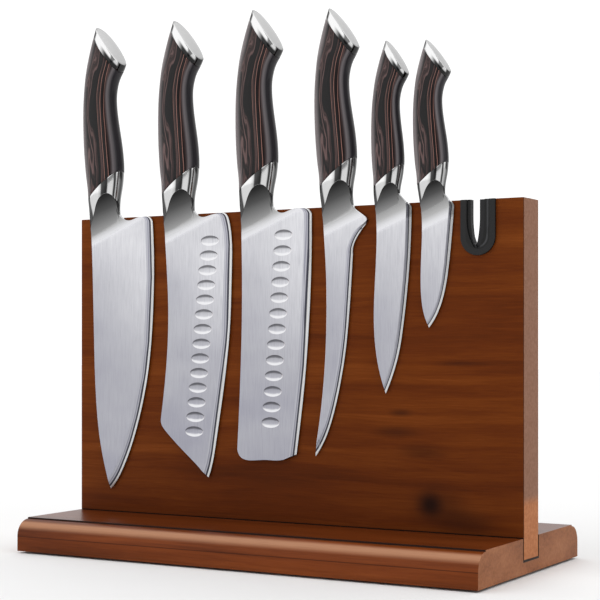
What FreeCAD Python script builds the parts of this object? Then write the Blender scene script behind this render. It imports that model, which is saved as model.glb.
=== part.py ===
import math
import os

import FreeCAD
import Part
import Sketcher

# Upright magnetic knife rack: a wooden board standing in a grooved base, six knives held on its
# front by hidden magnets, and a drop-in sharpening insert in a notch of its top edge.
# Millimetres. X runs along the board, -Y is the front, +Z is up.
# The origin is on the ground under the middle of the base.

# Driving sizes: name, value, meaning.
SIZES = [
    ("base_width", 355, "length of base and board along X"),
    ("base_depth", 173, "front to rear"),
    ("base_thickness", 23, "wood thickness of the base"),
    ("base_edge_radius", 11.5, "quarter-round along the front and rear edges"),
    ("base_quirk", 1, "small step above the quarter-round"),
    ("groove_depth", 14, "how deep the board stands in the base"),
    ("groove_gap", 1, "gap beside the board in the groove"),
    ("board_height", 218, "board above the top of the base"),
    ("board_offset", -0.8, "middle of the board from the middle of the base, along Y"),
    ("rear_panel_thickness", 17, "rear layer of the board"),
    ("magnet_skin", 2, "wood left in front of the magnets"),
    ("magnet_thickness", 6, "bar magnet along Y"),
    ("magnet_length", 44, "bar magnet along X"),
    ("magnet_height", 14, "bar magnet along Z"),
    ("magnet_pitch", 49, "from one bar magnet to the next"),
    ("magnet_inset", 8, "left end of the board to the first bar magnet"),
    ("magnet_gap", 0.2, "gap round a bar magnet in its pocket"),
    ("upper_magnets_down", 36, "board top to the middle of the upper row"),
    ("lower_magnets_down", 80, "board top to the middle of the lower row"),
    ("screw_spacing", 140, "from one base screw to the next"),
    ("screw_radius", 2, "shank of a base screw"),
    ("screw_head_radius", 4.2, "countersunk head of a base screw"),
    ("screw_head_height", 2.6, "countersunk head of a base screw"),
    ("screw_grip", 26, "length of screw inside the board"),
    ("screw_recess_radius", 1.6, "drive recess in a screw head"),
    ("screw_recess_depth", 1.3, "drive recess in a screw head"),
    ("screw_clearance", 0.3, "gap round a shank in the base"),
    ("foot_radius", 8, "rubber foot"),
    ("foot_height", 1.5, "rubber foot"),
    ("foot_inset", 18, "middle of a foot from the ends and long edges of the base"),
    ("insert_inset", 31.2, "middle of the sharpening insert from the right end"),
    ("insert_half_width", 12.2, "front lip of the insert"),
    ("insert_depth", 36.4, "front lip of the insert, from the board top down"),
    ("insert_lip", 1.6, "thickness of the lips in front of and behind the front panel"),
    ("insert_overlap", 1.2, "how far the front lip covers the edge of the notch"),
    ("insert_gap", 0.3, "running gap between the insert and the board"),
    ("throat_half_width", 7.6, "front opening of the insert"),
    ("throat_straight", 13, "straight part of the front opening, from the top"),
    ("throat_depth", 32, "lowest point of the front opening"),
    ("throat_nose", 3.6, "radius at the bottom of the front opening"),
    ("rear_opening_half_width", 9.2, "opening of the rear lip"),
    ("rear_lip_half_width", 14.2, "outside of the rear lip"),
    ("slot_shift", -2.5, "middle of the sharpening slot from the middle of the insert"),
    ("slot_half_width", 2.8, "sharpening slot at its top"),
    ("slot_straight", 11, "straight part of the slot"),
    ("slot_depth", 29, "lowest point of the slot"),
    ("slot_nose", 0.9, "radius at the bottom of the slot"),
    ("rib_width", 3.1, "outer rib of the sharpening stone"),
    ("stone_setback", 1, "front of the sharpening stone behind the face of the insert"),
    ("rib_step", 2, "inner rib behind the outer rib"),
    ("stone_thickness", 5, "sharpening stone and guide along Y"),
    ("clearing_half_width", 17, "notch of the rear panel, wider than the insert"),
    ("clearing_depth", 39, "notch of the rear panel, from the board top down"),
    ("clearing_radius", 7, "lower corners of the rear panel's notch"),
    ("blade_gap", 0.3, "gap between a held blade and the board"),
    ("blade_thickness", 2.5, "all blades"),
    ("edge_width", 1.3, "honed band at the cutting edge"),
    ("edge_half_thickness", 0.45, "half thickness where the honed band starts"),
    ("shoulder_height", 2, "board top to the joint of blade and bolster"),
    ("web_width", 2, "strip of blade beside a bolster that the heel climbs"),
    ("tang_left", -6, "left side of the tang from the handle axis, full-size handle"),
    ("tang_right", 3, "right side of the tang from the handle axis, full-size handle"),
    ("tang_height", 124, "top of the tang above the board top, full-size handle"),
    ("scoop_height", 18, "how far the blade's hollow runs up the bolster"),
    ("scoop_reach", 1, "how far the hollow's top lies beyond the handle's side"),
    ("dimple_depth", 0.55, "ground hollows on the blades"),
    ("dimple_half_height", 3.7, "ground hollows on the blades"),
]

# Each knife: station of its handle axis from the left end of the board, blade length from the
# board top, full blade width, ground band beside the cutting edge, then handle length, width and
# thickness, and how many degrees the handle leans to the right.
KNIFE_SIZES = {
    "chef": (23.1, 201.2, 57.2, 5.5, 142, 35, 20, 0),
    "santoku": (89.5, 189, 60.2, 5.5, 139.6, 34.6, 19.6, 1.3),
    "nakiri": (155.5, 174.7, 59.7, 5.5, 140.2, 34.6, 19.6, 1.7),
    "boning": (219.8, 171.5, 40.5, 4.5, 134.8, 32.2, 18.6, 0.2),
    "utility": (257.9, 127, 27.4, 3.4, 108.6, 25.2, 14.6, 2.2),
    "paring": (290.7, 83, 24.2, 3, 106.4, 25.8, 14.6, 0.5),
}
KNIFE_MEASURES = ["station", "length", "width", "bevel", "handle_length", "handle_width",
                  "handle_thickness", "handle_lean"]

# Blade outlines, each point (down from the board top, right of the handle axis), at the size of
# the original knife. back runs down from the bolster, nose joins the back to the tip or the
# cutting edge where they don't meet by themselves, edge runs up from the tip, and heel runs back
# to the bolster, or up beside it on the small knives.
OUTLINES = {
    "chef": {
        "back": [(-2, -12.6), (21, -11.1), (61, -9.8), (101, -8.8), (141, -6.6),
                 (161, -4.2), (181, 0), (201.2, 5.8)],
        "edge": [(201.2, 5.8), (191, 13.9), (181, 19.2), (171, 23.7), (161, 27.5), (141, 33.7),
                 (121, 38.4), (101, 41.5), (61, 44.4), (21, 44.6), (4, 43.6)],
        "heel": [(4, 43.6), (0.6, 40.5), (0.6, 34), (2.6, 24), (0.6, 17), (-2, 14.4)],
    },
    "santoku": {
        "back": [(-2, -11.9), (31, -9.9), (61, -8.2), (91, -8.4), (121, -10.9), (147, -14.4)],
        "nose": [(147, -14.4), (152.5, -13.8), (157, -10.2), (175, 10.4), (189, 26.2)],
        "edge": [(189, 26.2), (176, 30.2), (161, 33), (141, 36.4), (121, 39.6), (101, 42.3),
                 (81, 44.3), (41, 45.8), (11, 44.7), (4, 43)],
        "heel": [(4, 43), (0.8, 40), (0.8, 32), (2.8, 22), (0.6, 16.5), (-2, 14)],
    },
    "nakiri": {
        "back": [(-2, -11.7), (41, -10.9), (81, -11.1), (121, -12.4), (168, -14.8)],
        "nose": [(168, -14.8), (172.6, -12.8), (174.7, 7.4), (174, 22.8), (170, 32.8)],
        "edge": [(170, 32.8), (151, 35.5), (121, 39.2), (101, 41.1), (81, 42.6), (41, 44.5),
                 (4, 44.9)],
        "heel": [(4, 44.9), (0.8, 42), (0.6, 33), (2.6, 22), (0.6, 16.5), (-2, 14.2)],
    },
    "boning": {
        "back": [(-2, -10.4), (21, -9.1), (41, -7.8), (71, -7.2), (91, -7.6), (131, -10.6),
                 (171.5, -16.6)],
        "edge": [(171.5, -16.6), (161, -9.7), (141, -1.9), (121, 3.1), (101, 6.8), (81, 9.2),
                 (61, 10.9), (33, 12.7)],
        "heel": [(33, 12.7), (22, 15.7), (15, 21), (10, 23.9), (4.5, 17.7), (1, 13.7), (-2, 12.2)],
    },
    "utility": {
        "back": [(-2, -8.3), (41, -7.5), (81, -8.9), (101, -7.1), (127, -0.6)],
        "edge": [(127, -0.6), (121, 2.1), (101, 8.9), (81, 12.5), (41, 16.9), (11, 18.4),
                 (4, 18.5)],
        "heel": [(4, 18.5), (1.4, 17.6), (-1.5, 13.8), (-5.5, 10.1), (-9, 8.9)],
    },
    "paring": {
        "back": [(-2, -7.8), (41, -6.9), (61, -6.8), (71, -5.5), (83, -1.6)],
        "edge": [(83, -1.6), (76, 3.3), (61, 9.2), (41, 12.8), (11, 15.8), (4, 16.4)],
        "heel": [(4, 16.4), (1.4, 15.4), (-1.5, 12.2), (-5, 9.3), (-9, 8.5)],
    },
}

# Rows of ground hollows: knife, number, first and last centre (down, right), half length.
DIMPLES = {
    "santoku": (14, (20, 28), (156.5, 14.5), 7.7),
    "nakiri": (13, (18, 23), (148.5, 12.5), 7.2),
}

# Side view of the full-size handle: height above the board top, left and right of the handle
# axis, half thickness. Every handle is this shape at its own length, width and thickness.
HANDLE_LENGTH = 142
HANDLE_WIDTH = 35
HANDLE_THICKNESS = 20
HANDLE_SECTIONS = [
    (0, -12.6, 14.2, 9),
    (15, -13.5, 14.2, 9.2),
    (30, -14.9, 15.7, 9.7),
    (45, -16.6, 15.6, 10),
    (60, -17.5, 13.5, 9.9),
    (80, -17.8, 10.1, 9.4),
    (100, -16.4, 11.2, 9.5),
    (112, -14.8, 17.4, 9.8),
    (125, -11.6, 18.7, 9.4),
    (138, -7.4, 18.9, 8.9),
    (150, -2, 19, 8),
]
# Where the bolster meets the grip, and the butt cap's inner and outer faces: (across, up).
GRIP_START = [(-24, 14), (-7, 16.5), (0, 22.5), (8, 28.5), (14, 33), (24, 38)]
CAP_START = [(-24, 153.5), (0, 123.2), (24, 93)]
CAP_END = [(-24, 164), (-6.6, 142), (6, 127.8), (17.2, 112), (26, 99.5)]
BEYOND = 40
# How the bolster swells from the blade: 1 is a straight slope, more is a deeper hollow.
SCOOP_POWER = 2.5

document = FreeCAD.newDocument("knife_rack")
sheet = document.addObject("Spreadsheet::Sheet", "Sizes")


def fill_sheet():
    """Writes every driving size to the sheet under its own name."""
    rows = list(SIZES)
    for knife, values in KNIFE_SIZES.items():
        for measure, value in zip(KNIFE_MEASURES, values):
            rows.append((f"{knife}_{measure}", value, f"{measure} of the {knife} knife"))
    for row, (name, value, meaning) in enumerate(rows, start=1):
        sheet.set(f"A{row}", name)
        sheet.set(f"B{row}", str(value))
        sheet.set(f"C{row}", meaning)
        sheet.setAlias(f"B{row}", name)
    document.recompute()


fill_sheet()


def size(name):
    """Reads one driving size."""
    return float(sheet.get(name))


# Places that several pieces share, as expressions on the sheet.
RIGHT = "(Sizes.base_width / 2)"
LEFT = "(-Sizes.base_width / 2)"
BASE_TOP = "(Sizes.foot_height + Sizes.base_thickness)"
BOARD_BOTTOM = f"({BASE_TOP} - Sizes.groove_depth)"
BOARD_TOP = f"({BASE_TOP} + Sizes.board_height)"
FRONT_PANEL = "(Sizes.magnet_skin + Sizes.magnet_thickness)"
BOARD_HALF = f"(({FRONT_PANEL} + Sizes.rear_panel_thickness) / 2)"
BOARD_FRONT = f"(Sizes.board_offset - {BOARD_HALF})"
PANEL_JOINT = f"({BOARD_FRONT} + {FRONT_PANEL})"
SCREW_Y = f"({PANEL_JOINT} + Sizes.rear_panel_thickness / 2)"
SCREW_TOP = f"({BOARD_BOTTOM} + Sizes.screw_grip)"
INSERT_X = f"({RIGHT} - Sizes.insert_inset)"
NOTCH_HALF = "(Sizes.insert_half_width - Sizes.insert_overlap)"
NOTCH_DEPTH = "(Sizes.insert_depth - Sizes.insert_overlap)"
SPIGOT_HALF = f"({NOTCH_HALF} - Sizes.insert_gap)"
SPIGOT_DEPTH = f"({NOTCH_DEPTH} - Sizes.insert_gap)"
INSERT_FRONT = f"({BOARD_FRONT} - Sizes.insert_gap - Sizes.insert_lip)"
REAR_LIP_FRONT = f"({PANEL_JOINT} + Sizes.insert_gap)"


def new_body(label):
    body = document.addObject("PartDesign::Body", label)
    body.Label = label
    body.AllowCompound = True
    return body


def new_sketch(body, name, plane, offset="0", across="0"):
    """Sketch on one of the body's origin planes, moved along its normal and its first axis."""
    sketch = body.newObject("Sketcher::SketchObject", f"{body.Label}_{name}")
    support = next(item for item in body.Origin.OriginFeatures if item.Role == plane)
    sketch.AttachmentSupport = [(support, "")]
    sketch.MapMode = "FlatFace"
    sketch.setExpression("AttachmentOffset.Base.z", offset)
    sketch.setExpression("AttachmentOffset.Base.x", across)
    return sketch


def bind(sketch, constraint, expression):
    """Adds a constraint and ties its value to the sheet."""
    index = sketch.addConstraint(constraint)
    name = f"value_{index}"
    sketch.renameConstraint(index, name)
    sketch.setExpression(f"Constraints.{name}", expression)


def arc_middle(start, end, radius, side):
    """Middle point of the shorter arc from start to end; side is 1 to bulge left of the way."""
    chord = end - start
    normal = FreeCAD.Vector(-chord.y, chord.x, 0).normalize()
    rise = radius - math.sqrt(radius ** 2 - (chord.Length / 2) ** 2)
    return (start + end) / 2 + normal * rise * side


def draw_outline(sketch, corners, arcs=None):
    """Closed outline. corners are pairs of expressions; arcs gives, for the number of the corner
    that a round side starts from, its radius and the side it bulges to."""
    arcs = arcs or {}
    places = [FreeCAD.Vector(sketch.evalExpression(across), sketch.evalExpression(up), 0)
              for across, up in corners]
    starts = []
    ends = []
    for number, start in enumerate(places):
        end = places[(number + 1) % len(places)]
        if number in arcs:
            radius, side = arcs[number]
            middle = arc_middle(start, end, sketch.evalExpression(radius), side)
            geometry = sketch.addGeometry(Part.Arc(start, middle, end))
            begins = 1 if side < 0 else 2
        else:
            geometry = sketch.addGeometry(Part.LineSegment(start, end))
            begins = 1
        starts.append((geometry, begins))
        ends.append((geometry, 3 - begins))
    for number, (across, up) in enumerate(corners):
        sketch.addConstraint(Sketcher.Constraint("Coincident", *ends[number - 1], *starts[number]))
        place = places[number]
        bind(sketch, Sketcher.Constraint("DistanceX", -1, 1, *starts[number], place.x), across)
        bind(sketch, Sketcher.Constraint("DistanceY", -1, 1, *starts[number], place.y), up)
    for number, (radius, side) in arcs.items():
        length = sketch.evalExpression(radius)
        bind(sketch, Sketcher.Constraint("Radius", starts[number][0], length), radius)


def draw_rectangle(sketch, left, right, low, high):
    draw_outline(sketch, [(left, low), (right, low), (right, high), (left, high)])


def pad(body, sketch, name, length, backward=False):
    feature = body.newObject("PartDesign::Pad", f"{body.Label}_{name}")
    feature.Profile = sketch
    feature.Reversed = backward
    feature.setExpression("Length", length)
    document.recompute()
    return feature


def remove(body, kind, sketch, name, settings, length=None):
    """Adds a Pocket or Groove and makes sure that it takes material away."""
    before = body.Shape.Volume
    feature = body.newObject(f"PartDesign::{kind}", f"{body.Label}_{name}")
    feature.Profile = sketch
    for setting, value in settings.items():
        setattr(feature, setting, value)
    if length:
        feature.setExpression("Length", length)
    document.recompute()
    if body.Shape.Volume >= before:
        raise ValueError(f"{body.Label}: {name} removes nothing")
    return feature


def repeat(body, feature, sketch, name, length, count):
    """Repeats a feature along the sketch's first axis."""
    pattern = body.newObject("PartDesign::LinearPattern", f"{body.Label}_{name}")
    pattern.Originals = [feature]
    pattern.Direction = (sketch, ["H_Axis"])
    pattern.setExpression("Length", length)
    pattern.Occurrences = count
    body.Tip = pattern
    document.recompute()
    return pattern


# ---------------------------------------------------------------- rack

SCREW_COUNT = 3
MAGNET_COLUMNS = 6
FIRST_SCREW = "-Sizes.screw_spacing"
SCREW_ROW = f"{SCREW_COUNT - 1} * Sizes.screw_spacing"
MAGNET_ROW = f"{MAGNET_COLUMNS - 1} * Sizes.magnet_pitch"


def base_plate():
    """Solid base: moulded long edges, a groove for the board and countersunk screw holes."""
    body = new_body("base_plate")
    section = new_sketch(body, "section", "YZ_Plane", LEFT)
    front = "(-Sizes.base_depth / 2)"
    rear = "(Sizes.base_depth / 2)"
    radius = "Sizes.base_edge_radius"
    step = f"({BASE_TOP} - Sizes.base_quirk)"
    round_end = f"({step} - {radius})"
    groove_front = f"({BOARD_FRONT} - Sizes.groove_gap)"
    groove_rear = f"(Sizes.board_offset + {BOARD_HALF} + Sizes.groove_gap)"
    corners = [
        (front, "Sizes.foot_height"), (rear, "Sizes.foot_height"),
        (rear, round_end), (f"({rear} - {radius})", step), (f"({rear} - {radius})", BASE_TOP),
        (groove_rear, BASE_TOP), (groove_rear, BOARD_BOTTOM),
        (groove_front, BOARD_BOTTOM), (groove_front, BASE_TOP),
        (f"({front} + {radius})", BASE_TOP), (f"({front} + {radius})", step),
        (front, round_end),
    ]
    draw_outline(section, corners, {2: (radius, -1), 10: (radius, -1)})
    pad(body, section, "wood", "Sizes.base_width")
    hole = new_sketch(body, "hole_section", "XZ_Plane", f"-{SCREW_Y}", FIRST_SCREW)
    head = "Sizes.screw_head_radius"
    shank = "(Sizes.screw_radius + Sizes.screw_clearance)"
    head_top = "(Sizes.foot_height + Sizes.screw_head_height)"
    draw_outline(hole, [
        ("0", "0"), (head, "0"), (head, "Sizes.foot_height"), (shank, head_top),
        (shank, BASE_TOP), ("0", BASE_TOP),
    ])
    cut = remove(body, "Groove", hole, "screw_hole", {"ReferenceAxis": (hole, ["V_Axis"])})
    repeat(body, cut, hole, "screw_holes", SCREW_ROW, SCREW_COUNT)


def base_screws():
    """Countersunk wood screws, from beneath the base into the rear layer of the board."""
    body = new_body("base_screws")
    section = new_sketch(body, "section", "XZ_Plane", f"-{SCREW_Y}", FIRST_SCREW)
    head = "Sizes.screw_head_radius"
    recess = "Sizes.screw_recess_radius"
    recess_top = "(Sizes.foot_height + Sizes.screw_recess_depth)"
    head_top = "(Sizes.foot_height + Sizes.screw_head_height)"
    shank = "Sizes.screw_radius"
    draw_outline(section, [
        ("0", recess_top), (recess, "Sizes.foot_height"), (head, "Sizes.foot_height"),
        (shank, head_top), (shank, f"({SCREW_TOP} - {shank})"), ("0", SCREW_TOP),
    ])
    turned = body.newObject("PartDesign::Revolution", "base_screws_turned")
    turned.Profile = section
    turned.ReferenceAxis = (section, ["V_Axis"])
    document.recompute()
    repeat(body, turned, section, "row", SCREW_ROW, SCREW_COUNT)


def magnet_rectangles(sketch, gap):
    """Upper and lower rectangle of the first magnet column, grown all round by the gap."""
    left = f"({LEFT} + Sizes.magnet_inset - {gap})"
    right = f"({LEFT} + Sizes.magnet_inset + Sizes.magnet_length + {gap})"
    for row in ("upper", "lower"):
        middle = f"({BOARD_TOP} - Sizes.{row}_magnets_down)"
        half = f"(Sizes.magnet_height / 2 + {gap})"
        draw_rectangle(sketch, left, right, f"({middle} - {half})", f"({middle} + {half})")


def front_panel():
    """Front layer of the board, with a notch for the insert and pockets for the magnets."""
    body = new_body("front_panel")
    outline = new_sketch(body, "outline", "XZ_Plane", f"-{BOARD_FRONT}")
    round_middle = f"({BOARD_TOP} - {NOTCH_DEPTH} + {NOTCH_HALF})"
    notch_right = f"({INSERT_X} + {NOTCH_HALF})"
    notch_left = f"({INSERT_X} - {NOTCH_HALF})"
    draw_outline(outline, [
        (LEFT, BOARD_BOTTOM), (RIGHT, BOARD_BOTTOM), (RIGHT, BOARD_TOP),
        (notch_right, BOARD_TOP), (notch_right, round_middle),
        (INSERT_X, f"({BOARD_TOP} - {NOTCH_DEPTH})"), (notch_left, round_middle),
        (notch_left, BOARD_TOP), (LEFT, BOARD_TOP),
    ], {4: (NOTCH_HALF, 1), 5: (NOTCH_HALF, 1)})
    pad(body, outline, "wood", FRONT_PANEL, backward=True)
    pockets = new_sketch(body, "pocket_outline", "XZ_Plane", f"-{PANEL_JOINT}")
    magnet_rectangles(pockets, "Sizes.magnet_gap")
    cut = remove(body, "Pocket", pockets, "pockets", {"Reversed": True},
                 "Sizes.magnet_thickness")
    repeat(body, cut, pockets, "pocket_row", MAGNET_ROW, MAGNET_COLUMNS)


def front_magnets():
    """Bar magnets in two rows behind the face of the front layer."""
    body = new_body("front_magnets")
    outline = new_sketch(body, "outline", "XZ_Plane", f"-{PANEL_JOINT}")
    magnet_rectangles(outline, "0")
    bars = pad(body, outline, "bars", "Sizes.magnet_thickness")
    repeat(body, bars, outline, "row", MAGNET_ROW, MAGNET_COLUMNS)


def rear_panel():
    """Rear layer of the board, with a wide notch behind the insert and holes for the screws."""
    body = new_body("rear_panel")
    outline = new_sketch(body, "outline", "XZ_Plane", f"-{PANEL_JOINT}")
    half = "Sizes.clearing_half_width"
    radius = "Sizes.clearing_radius"
    floor = f"({BOARD_TOP} - Sizes.clearing_depth)"
    draw_outline(outline, [
        (LEFT, BOARD_BOTTOM), (RIGHT, BOARD_BOTTOM), (RIGHT, BOARD_TOP),
        (f"({INSERT_X} + {half})", BOARD_TOP), (f"({INSERT_X} + {half})", f"({floor} + {radius})"),
        (f"({INSERT_X} + {half} - {radius})", floor), (f"({INSERT_X} - {half} + {radius})", floor),
        (f"({INSERT_X} - {half})", f"({floor} + {radius})"), (f"({INSERT_X} - {half})", BOARD_TOP),
        (LEFT, BOARD_TOP),
    ], {4: (radius, 1), 6: (radius, 1)})
    pad(body, outline, "wood", "Sizes.rear_panel_thickness", backward=True)
    hole = new_sketch(body, "hole_section", "XZ_Plane", f"-{SCREW_Y}", FIRST_SCREW)
    shank = "Sizes.screw_radius"
    draw_outline(hole, [
        ("0", BOARD_BOTTOM), (shank, BOARD_BOTTOM), (shank, f"({SCREW_TOP} - {shank})"),
        ("0", SCREW_TOP),
    ])
    cut = remove(body, "Groove", hole, "screw_hole", {"ReferenceAxis": (hole, ["V_Axis"])})
    repeat(body, cut, hole, "screw_holes", SCREW_ROW, SCREW_COUNT)


def rubber_feet():
    """Four round feet under the corners of the base."""
    body = new_body("rubber_feet")
    outline = new_sketch(body, "outline", "XY_Plane")
    across = "(Sizes.base_width / 2 - Sizes.foot_inset)"
    along = "(Sizes.base_depth / 2 - Sizes.foot_inset)"
    for side_x in (-1, 1):
        for side_y in (-1, 1):
            place_x = f"{side_x} * {across}"
            place_y = f"{side_y} * {along}"
            centre = FreeCAD.Vector(outline.evalExpression(place_x),
                                    outline.evalExpression(place_y), 0)
            disc = outline.addGeometry(Part.Circle(centre, FreeCAD.Vector(0, 0, 1),
                                                   size("foot_radius")))
            bind(outline, Sketcher.Constraint("DistanceX", -1, 1, disc, 3, centre.x), place_x)
            bind(outline, Sketcher.Constraint("DistanceY", -1, 1, disc, 3, centre.y), place_y)
            bind(outline, Sketcher.Constraint("Radius", disc, size("foot_radius")),
                 "Sizes.foot_radius")
    pad(body, outline, "discs", "Sizes.foot_height")


# ---------------------------------------------------------------- sharpening insert


def u_outline(sketch, half, depth):
    """U open at the board top: straight sides and a half-round bottom."""
    left = f"({INSERT_X} - {half})"
    right = f"({INSERT_X} + {half})"
    round_middle = f"({BOARD_TOP} - {depth} + {half})"
    draw_outline(sketch, [
        (left, BOARD_TOP), (left, round_middle), (INSERT_X, f"({BOARD_TOP} - {depth})"),
        (right, round_middle), (right, BOARD_TOP),
    ], {1: (half, -1), 2: (half, -1)})


def throat_half(side, shift, half, straight, depth, nose):
    """Corners down one side of a V throat, from the board top to its lowest point, as a straight
    stretch, a long arc and the arc of the nose. side is 1 right of the insert's middle."""
    fall = f"({depth} - {nose} - {straight})"
    flank = f"(({half}^2 + {fall}^2 - {nose}^2) / (2 * ({half} - {nose})))"
    meet_x = f"({nose} * ({flank} - {half}) / ({flank} - {nose}))"
    meet_z = f"({BOARD_TOP} - {depth} + {nose} - {nose} * {fall} / ({flank} - {nose}))"
    middle = f"({INSERT_X} + {shift})"
    side_x = f"({middle} + {side} * {half})"
    corners = [(side_x, BOARD_TOP), (side_x, f"({BOARD_TOP} - {straight})"),
               (f"({middle} + {side} * {meet_x})", meet_z),
               (middle, f"({BOARD_TOP} - {depth})")]
    return corners, {1: (flank, side), 2: (nose, side)}


def throat_outline(sketch, parts):
    """Joins two sides of throats, one down and one back up, into one closed outline."""
    (down, down_arcs), (up, up_arcs) = parts
    corners = list(down)
    arcs = dict(down_arcs)
    if down[-1] == up[-1]:
        corners.pop()
    climb_start = len(corners)
    corners += reversed(up)
    last = climb_start + len(up) - 1
    for number, (radius, side) in up_arcs.items():
        arcs[last - number - 1] = (radius, -side)
    draw_outline(sketch, corners, arcs)


FRONT_THROAT = ("0", "Sizes.throat_half_width", "Sizes.throat_straight", "Sizes.throat_depth",
                "Sizes.throat_nose")
SLOT = ("Sizes.slot_shift", "Sizes.slot_half_width", "Sizes.slot_straight", "Sizes.slot_depth",
        "Sizes.slot_nose")


def sharpener_front_frame():
    """Front half of the insert: a lip on the board's face and a spigot through its notch."""
    body = new_body("sharpener_front_frame")
    lip = new_sketch(body, "lip_outline", "XZ_Plane", f"-{INSERT_FRONT}")
    u_outline(lip, "Sizes.insert_half_width", "Sizes.insert_depth")
    pad(body, lip, "lip", "Sizes.insert_lip", backward=True)
    spigot = new_sketch(body, "spigot_outline", "XZ_Plane", f"-{INSERT_FRONT}")
    u_outline(spigot, SPIGOT_HALF, SPIGOT_DEPTH)
    pad(body, spigot, "spigot", f"({REAR_LIP_FRONT} - {INSERT_FRONT})", backward=True)
    throat = new_sketch(body, "throat_outline", "XZ_Plane", f"-{INSERT_FRONT}")
    throat_outline(throat, (throat_half(-1, *FRONT_THROAT), throat_half(1, *FRONT_THROAT)))
    remove(body, "Pocket", throat, "throat", {"Type": "ThroughAll"})


def sharpener_rear_frame():
    """Rear lip of the insert, behind the front panel, with a wider opening."""
    body = new_body("sharpener_rear_frame")
    outline = new_sketch(body, "outline", "XZ_Plane", f"-{REAR_LIP_FRONT}")
    u_outline(outline, "Sizes.rear_lip_half_width", "Sizes.insert_depth")
    pad(body, outline, "lip", "Sizes.insert_lip", backward=True)
    opening = new_sketch(body, "opening_outline", "XZ_Plane", f"-{REAR_LIP_FRONT}")
    u_outline(opening, "Sizes.rear_opening_half_width", "Sizes.throat_depth")
    remove(body, "Pocket", opening, "opening", {"Type": "ThroughAll"})


def sharpener_guide():
    """Plain left side of the sharpening slot."""
    body = new_body("sharpener_guide")
    outline = new_sketch(body, "outline", "XZ_Plane",
                         f"-({INSERT_FRONT} + Sizes.stone_setback)")
    throat_outline(outline, (throat_half(-1, *FRONT_THROAT), throat_half(-1, *SLOT)))
    pad(body, outline, "plate", "Sizes.stone_thickness", backward=True)


def sharpener_stone():
    """Right side of the sharpening slot: an outer rib in front of an inner one."""
    body = new_body("sharpener_stone")
    inner = new_sketch(body, "inner_outline", "XZ_Plane",
                       f"-({INSERT_FRONT} + Sizes.stone_setback + Sizes.rib_step)")
    throat_outline(inner, (throat_half(1, *SLOT), throat_half(1, *FRONT_THROAT)))
    pad(body, inner, "inner_rib", "Sizes.stone_thickness", backward=True)
    outer = new_sketch(body, "outer_outline", "XZ_Plane",
                       f"-({INSERT_FRONT} + Sizes.stone_setback)")
    rib_throat = ("0", "(Sizes.throat_half_width - Sizes.rib_width)", "Sizes.throat_straight",
                  "(Sizes.throat_depth - Sizes.slot_nose)", "Sizes.throat_nose / 2")
    throat_outline(outer, (throat_half(1, *rib_throat), throat_half(1, *FRONT_THROAT)))
    pad(body, outer, "outer_rib", "Sizes.rib_step", backward=True)


# ---------------------------------------------------------------- knives


def flat_point(down, across):
    return FreeCAD.Vector(across, 0, -down)


def spline(points):
    curve = Part.BSplineCurve()
    curve.interpolate(points)
    return curve.toShape()


def moved(wire_points, depth):
    return [point + FreeCAD.Vector(0, depth, 0) for point in wire_points]


def scaled_outline(knife):
    """The knife's blade outline at the sheet's blade length and width."""
    curves = OUTLINES[knife]
    points = [point for curve in curves.values() for point in curve]
    length = size(f"{knife}_length") / max(down for down, across in points)
    breadths = [across for down, across in points]
    width = size(f"{knife}_width") / (max(breadths) - min(breadths))
    scaled = {}
    for name, curve in curves.items():
        scaled[name] = [flat_point(down * (length if down > 0 else 1), across * width)
                        for down, across in curve]
    return scaled


def inset_outline(curves, inset):
    """The outline with its cutting edge moved in by inset, for the ground faces."""
    edge = curves["edge"]
    before = "nose" if "nose" in curves else "back"
    joined = list(curves[before])
    along = (joined[-2] - joined[-1]).normalize()
    up = (edge[1] - edge[0]).normalize()
    retreat = inset / math.sin(along.getAngle(up))
    inner = [joined[-1] + along * retreat]
    for number in range(1, len(edge)):
        ahead = edge[min(number + 1, len(edge) - 1)]
        tangent = (ahead - edge[number - 1]).normalize()
        if (edge[number] - edge[0]).Length > 2 * retreat:
            inner.append(edge[number] + tangent.cross(FreeCAD.Vector(0, 1, 0)) * inset)
    joined[-1] = inner[0]
    heel = list(curves["heel"])
    shift = inner[-1] - heel[0]
    for number in range(1, len(heel) // 2):
        heel[number] = heel[number] + shift * (1 - number / len(heel))
    heel[0] = inner[-1]
    changed = dict(curves)
    changed[before] = joined
    changed["edge"] = inner
    changed["heel"] = heel
    return changed


def blade_wire(curves, depth):
    """Closed wire of a blade outline at one depth through the blade."""
    names = [name for name in ("back", "nose", "edge", "heel") if name in curves]
    edges = [spline(moved(curves[name], depth)) for name in names]
    top = curves["back"][0]
    end = curves["heel"][-1]
    corners = [end, FreeCAD.Vector(end.x - size("web_width"), 0, top.z), top]
    if end.z <= top.z:
        corners = [end, top]
    places = moved(corners, depth)
    edges += [Part.LineSegment(*pair).toShape() for pair in zip(places, places[1:])]
    return Part.Wire(edges)


def lean(knife, shape):
    """The shape leant to the right with the knife's handle, about the board top."""
    turned = shape.copy()
    turned.rotate(FreeCAD.Vector(0, 0, 0), FreeCAD.Vector(0, 1, 0), size(f"{knife}_handle_lean"))
    return turned


def handle_scale(knife):
    """Length, width and thickness of a knife's handle against the full-size one."""
    return (size(f"{knife}_handle_length") / HANDLE_LENGTH,
            size(f"{knife}_handle_width") / HANDLE_WIDTH,
            size(f"{knife}_handle_thickness") / HANDLE_THICKNESS)


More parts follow.
